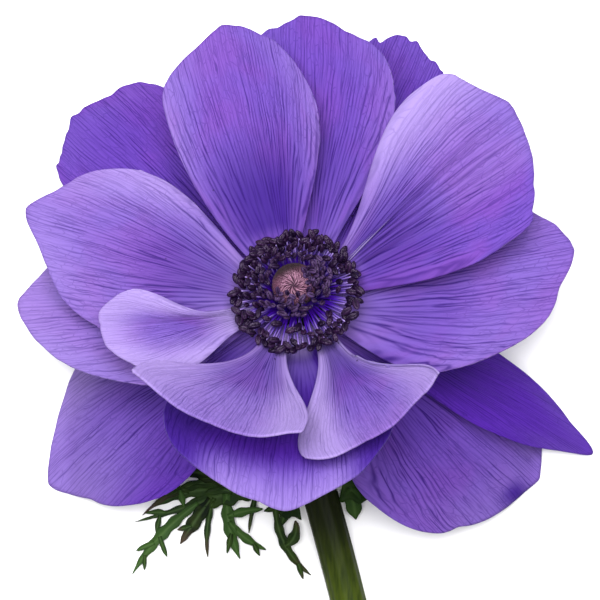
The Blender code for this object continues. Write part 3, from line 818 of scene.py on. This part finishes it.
def make_stamens():
    draw = random.Random(23)
    threads, thread_tint = tinted_shape()
    sacs, sac_tint = tinted_shape()
    turn = bloom.to_3x3()
    for spot, azimuth, belt in anther_spots():
        length = belt.anther * draw.uniform(0.75, 1.12) * MM
        beside = azimuth + draw.uniform(-0.12, 0.12)
        root = polar(beside, draw.uniform(*belt.root) * MM, CUSHION_HEIGHT * 0.8)
        lean = (spot - root).normalized()
        aside = UP.cross(lean).normalized()
        askew = lean + aside * draw.uniform(-1.6, 1.6) + UP * draw.uniform(-0.7, 0.9)
        long_way = askew.normalized()
        colour = (draw.random(), 0, belt.grey * draw.random(), 1)
        thread_colour = (draw.random() * 0.5, 0, 0, 1)
        tip = spot - lean * length * 0.2
        add_filament(threads, thread_tint, thread_colour, root, tip, azimuth)
        add_anther(sacs, sac_tint, colour, bloom @ spot, turn @ long_way, turn @ UP, length)
    rings = []
    for radius, height in CUSHION_PROFILE:
        ring = []
        for step in range(CUSHION_SIDES):
            bump = 1 + 0.02 * math.sin(step * math.tau / CUSHION_SIDES * 16)
            spot = polar(step / CUSHION_SIDES * math.tau, radius * bump * MM, height * MM)
            vertex = threads.verts.new(bloom @ spot)
            vertex[thread_tint] = (0.6, 0, 0, 1)
            ring.append(vertex)
        rings.append(ring)
    join_rings(threads, rings)
    finish_piece("stamen_filaments", threads, filament_material(), "stamens")
    finish_piece("stamen_anthers", sacs, anther_material(), "stamens")


make_stamens()

# ---- The pistil head ----
# A dome of very many small pistils that are packed together, each with a fine, curved, pink
# style. The styles lie over each other in a whorl.

STYLES = 1100


def head_point(direction, lift):
    """A point over the head in a direction from its middle, at a height over its surface."""
    return Vector((
        direction.x * (HEAD_RADIUS + lift),
        direction.y * (HEAD_RADIUS + lift),
        direction.z * (HEAD_SQUASH + lift) + HEAD_MIDDLE,
    ))


def style_material(name, low, high, dark):
    """Soft pink tissue: low at a style's foot, high at its tip, and darker at the head's rim with
    painted shade.
    """
    material, tree, shader = new_material(name, roughness=0.5, specular=0.2, sheen_weight=0.05)
    _, out, rim = tint_of(tree)
    colour = mixed(tree, out, low, high)
    give_colour(tree, shader, mixed(tree, rim, colour, dark), through=0.2)
    return material


def make_pistil_head():
    shape, tint = tinted_shape()
    bmesh.ops.create_icosphere(shape, subdivisions=5, radius=1)
    for vertex in shape.verts:
        direction = vertex.co.normalized()
        bumps = noise.cell(direction * 14) * 0.08 * MM
        vertex.co = head_point(direction, bumps)
        vertex.co.z = max(vertex.co.z, CUSHION_HEIGHT + 0.05 * MM)
        vertex.co = bloom @ vertex.co
        # Darker towards the head's rim: painted shade in the gap round the head.
        vertex[tint] = (0, 0.1, smooth_step(0.5, 0.1, direction.z), 1)
    low, high, dark = (0.02, 0.004, 0.016), (0.1, 0.03, 0.08), (0.006, 0.006, 0.004)
    tissue = style_material("pistil", low, high, dark)
    finish_piece("pistil_dome", shape, tissue, "pistil_head")
    draw = random.Random(5)
    styles, tint = tinted_shape()
    turn = bloom.to_3x3()
    crown = polar(math.radians(-80), 0.36, 0.93).normalized()
    shady = polar(math.radians(110), 0.9, 0.4).normalized()
    for index in range(STYLES):
        height = 1 - index / STYLES * 0.95
        azimuth = index * GOLDEN_ANGLE
        ring = math.sqrt(1 - height * height)
        direction = polar(azimuth, ring, height)
        away = (direction - crown * direction.dot(crown)).normalized()
        around = direction.cross(away)
        way = (away * draw.uniform(0.5, 1.1) + around * draw.uniform(0.2, 0.9)).normalized()
        length = draw.uniform(0.55, 0.95) * MM
        rings = []
        # Darker near the head's rim, which is painted shade, and on the shady side, which is partly
        # the
        # head's own dark fuzz and partly painted shade among the anthers.
        near_rim = smooth_step(0.5, 0.1, direction.z)
        dark = max(near_rim, smooth_step(0.3, 0.85, direction.dot(shady))) * 0.9
        # Paler near the crown: a painted highlight.
        glow = 0.45 + 0.75 * smooth_step(0.7, 1, direction.dot(crown))
        for step in range(4):
            share = step / 3
            along_way = (direction + way * (share * length / HEAD_RADIUS)).normalized()
            lift = (0.03 + 0.26 * math.sin(share * 2.3)) * MM
            point = bloom @ head_point(along_way, lift)
            across, over = square_to(turn @ way, turn @ direction)
            colour = (0, min(1, share * glow * draw.uniform(0.7, 1.2)), dark, 1)
            radius = (0.065 - 0.04 * share) * MM
            rings.append(add_ring(styles, tint, colour, point, across, over, [radius] * 4))
        join_rings(styles, rings)
    low, high, dark = (0.09, 0.008, 0.05), (0.62, 0.33, 0.48), (0.014, 0.009, 0.009)
    tissue = style_material("style", low, high, dark)
    finish_piece("pistil_styles", styles, tissue, "pistil_head")


make_pistil_head()

# ---- The stem ----
# A cut, juicy green stem, finely ridged and downy. It leaves the underside of the receptacle,
# which is its own swollen end, bends down and lies along the surface to its cut end.

DRUM_HEIGHT = 5.6 * MM
DRUM_WALL = 4.6 * MM
DRUM_EDGE = 0.3 * MM
COLLAR_RADIUS = 3.2 * MM
NECK_RADIUS = 2.2 * MM
STEM_RADIUS = 2.8 * MM
STEM_PRESSED_BY = 0.15 * MM
NECK_PULL = 8 * MM
LYING_PULL = 20 * MM
STEM_SIDES = 72
STEM_RIDGES = 12
STEM_SHADE = (-47 * MM, -34 * MM)
NECK_STEPS = 60
LYING_STEPS = 90
NODE_AT = Vector((3.2, -30.0)) * MM
NODE_HEADING = math.radians(-74)
CUT_END_AT = Vector((17.0, -96.0)) * MM
CUT_END_HEADING = math.radians(-84)


def on_surface(spot, height):
    """A point beside the bloom: metres from the bloom's foot, at a height over the surface."""
    return Vector((bloom_at.x + spot.x, bloom_at.y + spot.y, height))


def stem_route():
    """Points down the neck from the receptacle, and along the surface to the cut end."""
    facing = bloom.to_3x3() @ UP
    under_drum = bloom_at - facing * DRUM_HEIGHT
    height = STEM_RADIUS - STEM_PRESSED_BY
    node = on_surface(NODE_AT, height)
    cut_end = on_surface(CUT_END_AT, height)
    onward = polar(NODE_HEADING, LYING_PULL, 0)
    into_end = polar(CUT_END_HEADING, LYING_PULL, 0)
    down = under_drum - facing * NECK_PULL
    neck = geometry.interpolate_bezier(under_drum, down, node - onward, node, NECK_STEPS)
    into = cut_end - into_end
    lying = geometry.interpolate_bezier(node, node + onward, into, cut_end, LYING_STEPS)
    top = [bloom_at, bloom_at - facing * DRUM_EDGE, bloom_at - facing * DRUM_WALL]
    radii = [DRUM_RADIUS - DRUM_EDGE, DRUM_RADIUS, DRUM_RADIUS, COLLAR_RADIUS]
    for index in range(1, NECK_STEPS):
        radii.append(NECK_RADIUS + (STEM_RADIUS - NECK_RADIUS) * index / (NECK_STEPS - 1))
    radii += [STEM_RADIUS] * (LYING_STEPS - 1)
    return top + neck + lying[1:], radii


def stem_material():
    """Green skin with paler ridges, and a painted shadow of the bloom that makes it almost black
    close to the bloom.
    """
    material, tree, shader = new_material("stem_skin", roughness=0.5, specular=0.06)
    crest, shade, _ = tint_of(tree)
    place = add_node(tree, "TexCoord", {}, 3)
    drawn_out = add_node(tree, "Mapping", {"Vector": place, "Scale": (1900, 160, 1900)})
    streaks = mottling(tree, drawn_out)
    streaky = ramp(tree, streaks, 0.35, 0.65)
    colour = mixed(tree, streaky, (0.014, 0.024, 0.002), (0.033, 0.048, 0.004))
    colour = mixed(tree, crest, colour, (0.055, 0.08, 0.008))
    give_colour(tree, shader, mixed(tree, shade, colour, (0.004, 0.005, 0.002)))
    speckle = mottling(tree, place, 2600, 2.0)
    give_bump(tree, shader, speckle, 0.6, 0.05)
    return material


def make_stem():
    shape, tint = tinted_shape()
    path, radii = stem_route()
    rings = []
    for index, (point, radius) in enumerate(zip(path, radii)):
        forward = (path[min(index + 1, len(path) - 1)] - path[max(index - 1, 0)]).normalized()
        across, over = square_to(forward, Vector((1, 0, 0)))
        ridged = []
        for step in range(STEM_SIDES):
            angle = step / STEM_SIDES * math.tau
            ridge = math.sin(angle * STEM_RIDGES) * 0.018 if index > 3 else 0
            uneven = 0.02 * noise.noise(Vector((math.cos(angle), math.sin(angle), index * 0.05)))
            ridged.append(radius * (1 + ridge - 0.018 + uneven))
        ring = add_ring(shape, tint, (0, 0, 0, 1), point, across, over, ridged)
        for step, vertex in enumerate(ring):
            crest = 0.5 + 0.5 * math.sin(step / STEM_SIDES * math.tau * STEM_RIDGES)
            # Painted shadow of the bloom over the stem's top end.
            shade = smooth_step(*STEM_SHADE, vertex.co.y - bloom_at.y)
            vertex[tint] = (crest * 0.25, shade * 0.85, 0, 1)
            vertex.co.z = max(vertex.co.z, 0)
        rings.append(ring)
    join_rings(shape, rings)
    bmesh.ops.recalc_face_normals(shape, faces=shape.faces)
    stem = finish_piece("stem_skin", shape, stem_material(), "stem")
    stem.data.set_sharp_from_angle(angle=math.radians(50))


make_stem()

# ---- The bracts ----
# Three deeply cut green leaves ring the stem below the bloom. They fall from its side and lie on
# the surface, a little arched, with dry brown tips.

BRACT_THICKNESS = 0.22 * MM
BRACT_HEIGHT = 2.5 * MM
BRACT_FALL = 6 * MM
BRACT_COLUMNS = 6


@dataclass
class Lobe:
    """A finger of a bract. Lengths are in millimetres and angles in degrees."""

    at: float  # where along its parent's rib it begins
    turn: float  # how far it turns away from its parent there
    length: float
    width: float
    curve: float = 0.0
    lobes: tuple = ()
    # how much brighter green it is: its own tone and painted highlight
    bright: float = 0.3
    dry: float = 0.0  # how brown its tip is


LEFT_BRACT = Lobe(0, 203, 26, 4.2, -8, (
    Lobe(0.20, 48, 8.4, 0.9, 16, dry=0.5),
    Lobe(0.2, -31, 13, 4.0, 6, bright=0.0),
    Lobe(0.25, -34, 18.8, 1.7, 58, (Lobe(0.62, 80, 2.8, 1.1, bright=1.0),), dry=1.0),
    Lobe(0.38, -30, 13.6, 2.2, 44, (Lobe(0.5, -36, 3.6, 1.2, 30),), bright=0.4),
    Lobe(0.42, 70, 10.5, 2.3, 24, (
        Lobe(0.42, 30, 7.4, 1.5, 26, (Lobe(0.7, -32, 2.2, 0.8),), bright=0.9),
        Lobe(0.34, 104, 5.6, 1.5, -20, bright=1.0),
        Lobe(0.6, -26, 3.2, 0.9),
    ), bright=0.9),
    Lobe(0.50, 52, 9.4, 1.1, 26, dry=0.8),
    Lobe(0.52, 34, 8.6, 2.6, 6, (Lobe(0.6, -40, 2.4, 1.0, dry=1.0),), bright=0.0, dry=0.9),
    Lobe(0.60, 16, 15.4, 2.1, 26, (
        Lobe(0.52, 58, 3.4, 1.0, 8, bright=0.5),
        Lobe(0.60, -30, 3.2, 1.1, 10, bright=0.8),
        Lobe(0.76, 34, 2.4, 0.8),
    ), bright=0.8),
    Lobe(0.84, 60, 2.9, 1.0, bright=0.4),
    Lobe(0.80, -26, 3.4, 1.1, 20, bright=0.6),
))
FRONT_BRACT = Lobe(0, 190, 5.6, 4.6, 10, (
    Lobe(0.66, 76, 12.4, 1.7, 50, (
        Lobe(0.50, 92, 4.6, 1.9, 80, bright=0.2, dry=1.0), Lobe(0.78, -24, 2.6, 0.9, dry=0.6),
    ), bright=0.2, dry=0.5),
    Lobe(0.3, 60, 3.6, 1.6),
), bright=0.2)
RIGHT_BRACT = Lobe(0, -12, 9, 4.4, 6, (
    Lobe(0.16, -70, 5.2, 3.4, bright=0.7), Lobe(0.50, 40, 3.5, 1.6, -10),
), bright=0.5)


def rib_point(lobe, root, heading, t):
    """The point and the heading at t along a lobe's rib, which is an arc."""
    turned = math.radians(lobe.curve) * t
    chord = lobe.length * MM * t
    if abs(turned) > 1e-6:
        chord *= math.sin(turned / 2) / (turned / 2)
    return root + polar(heading + turned / 2, chord, 0).xy, heading + turned


def half_width(lobe, t):
    """A narrow lobe is widest near its middle, a broad one at its foot. All are toothed and
    pointed."""
    toothed = 1 + 0.16 * math.sin(t * lobe.length * 2.3 + lobe.turn)
    if lobe.width > 4:
        hand = 1 - 0.55 * smooth_step(0.4, 0.7, t)
    else:
        hand = 0.45 + 0.55 * smooth_step(0, 0.5, t)
    return lobe.width * MM / 2 * max(1 - t**2.2, 0) ** 0.85 * toothed * hand


def add_lobe(shape, tint, lobe, root, heading, place_on, layer):
    """A channelled strip along the lobe's rib, and its own lobes, each a little over the last."""
    steps = max(8, int(lobe.length * 2))
    rows = []
    for index in range(steps + 1):
        t = index / steps
        point, way = rib_point(lobe, root, heading, t)
        row = []
        for step in range(BRACT_COLUMNS + 1):
            side = step / BRACT_COLUMNS * 2 - 1
            reach = half_width(lobe, min(t, 0.995)) * side
            spot = point + polar(way + QUARTER_TURN, reach, 0).xy
            height = (0.22 * layer - 0.25 * t) * MM + abs(reach) * 0.45
            height += 0.3 * MM * noise.noise(Vector((spot.x, spot.y, 0)) * 260)
            vertex = shape.verts.new(place_on(spot, height))
            blotch = 0.2 * noise.noise(Vector((spot.x, spot.y, 1)) * 700)
            brown = lobe.dry * smooth_step(0.55, 0.95, t + blotch)
            rib = 1 - smooth_step(0.0, 0.3, abs(side))
            # Brighter along each lobe's middle: its tone and a painted highlight; the midrib partly
            # painted highlight.
            vertex[tint] = (rib, brown, lobe.bright * (1 - 0.4 * abs(side)), 1)
            row.append(vertex)
        rows.append(row)
    for lower, upper in zip(rows, rows[1:]):
        for step in range(BRACT_COLUMNS):
            shape.faces.new((lower[step], upper[step], upper[step + 1], lower[step + 1]))
    for number, child in enumerate(lobe.lobes):
        point, way = rib_point(lobe, root, heading, child.at)
        above = layer + 1 + 0.4 * (number % 3)
        add_lobe(shape, tint, child, point, way + math.radians(child.turn), place_on, above)


def bract_material():
    """Dark, leathery green, brighter on some lobes with their own tone and painted highlights, with
    a paler midrib that is partly painted highlight, and brown tips.
    """
    material, tree, shader = new_material("bract_green", roughness=0.5, specular=0.06)
    rib, brown, bright = tint_of(tree)
    place = add_node(tree, "TexCoord", {}, 3)
    mottle = mottling(tree, place, 420)
    mottled = ramp(tree, mottle, 0.36, 0.64)
    colour = mixed(tree, mottled, (0.002, 0.006, 0.002), (0.015, 0.027, 0.004))
    # Brighter lobes: their own tone and painted highlight.
    colour = mixed(tree, bright, colour, (0.035, 0.085, 0.017))
    # A paler midrib, partly painted highlight.
    colour = mixed(tree, times(tree, rib, 0.5), colour, (0.06, 0.11, 0.03))
    colour = mixed(tree, brown, colour, (0.045, 0.03, 0.02))
    grain = mottling(tree, place, 2200)
    give_bump(tree, shader, grain, 0.9, 0.08)
    give_colour(tree, shader, colour, through=0.1)
    return material


green_tissue = bract_material()


def make_bract(name, lobe, attached_at):
    """Lay a bract from the stem's side down on to the surface."""
    shape, tint = tinted_shape()
    base = on_surface(attached_at, 0)

    def place_on(spot, height):
        fall = BRACT_HEIGHT * math.exp(-spot.length / BRACT_FALL)
        fall += 0.4 * MM * (1 + math.sin(spot.length / (3.1 * MM) + spot.x / (2.3 * MM)))
        return base + Vector((spot.x, spot.y, pressed(fall + height, 0.6 * MM)))

    add_lobe(shape, tint, lobe, Vector((0, 0)), math.radians(lobe.turn), place_on, 0)
    shape.normal_update()
    bmesh.ops.reverse_faces(shape, faces=[face for face in shape.faces if face.normal.z < 0])
    bract = finish_piece(name + "_blade", shape, green_tissue, name)
    skin = bract.modifiers.new("Thickness", "SOLIDIFY")
    skin.thickness = BRACT_THICKNESS
    skin.offset = -1


make_bract("bract_left", LEFT_BRACT, NODE_AT + Vector((-4.1, 2.6)) * MM)
make_bract("bract_front", FRONT_BRACT, NODE_AT + Vector((-3.0, -2.7)) * MM)
make_bract("bract_right", RIGHT_BRACT, NODE_AT + Vector((3.8, 0.0)) * MM)

# ---- The surface, the light and the camera ----
# A pale, smooth surface under soft daylight from a large window behind the flower's top, with
# the camera straight above the bloom.

pale_surface, _, _ = new_material(
    "pale_surface", roughness=0.9, specular=0.1, base_color=(0.95, 0.95, 0.95, 1)
)
surface = bmesh.new()
bmesh.ops.create_grid(surface, x_segments=1, y_segments=1, size=1.2)
floor = add_mesh("surface", surface, pale_surface)

light = bpy.data.lights.new("window", "AREA")
light.shape = "RECTANGLE"
light.size = light.size_y = 0.3
light.energy = 5.6
window = add_object("window", light)
window.location = (-0.03, 0.13, 0.5)
towards_bloom = Vector((0, 0, 0.02)) - Vector(window.location)
window.rotation_euler = towards_bloom.to_track_quat("-Z", "Y").to_euler()

world = bpy.data.worlds.new("daylight")
world.use_nodes = True
sky = world.node_tree.nodes["Background"].inputs
sky["Color"].default_value = (1.0, 1.0, 1.0, 1)
sky["Strength"].default_value = 0.55
bpy.context.scene.world = world
bpy.context.scene.view_settings.view_transform = "Standard"

camera_data = bpy.data.cameras.new("camera")
camera_data.lens = 180
camera_data.sensor_width = 36
camera = add_object("camera", camera_data)
camera.location = (bloom_at.x + 0.45 * MM, bloom_at.y - 1.05 * MM, 0.471)
bpy.context.scene.camera = camera
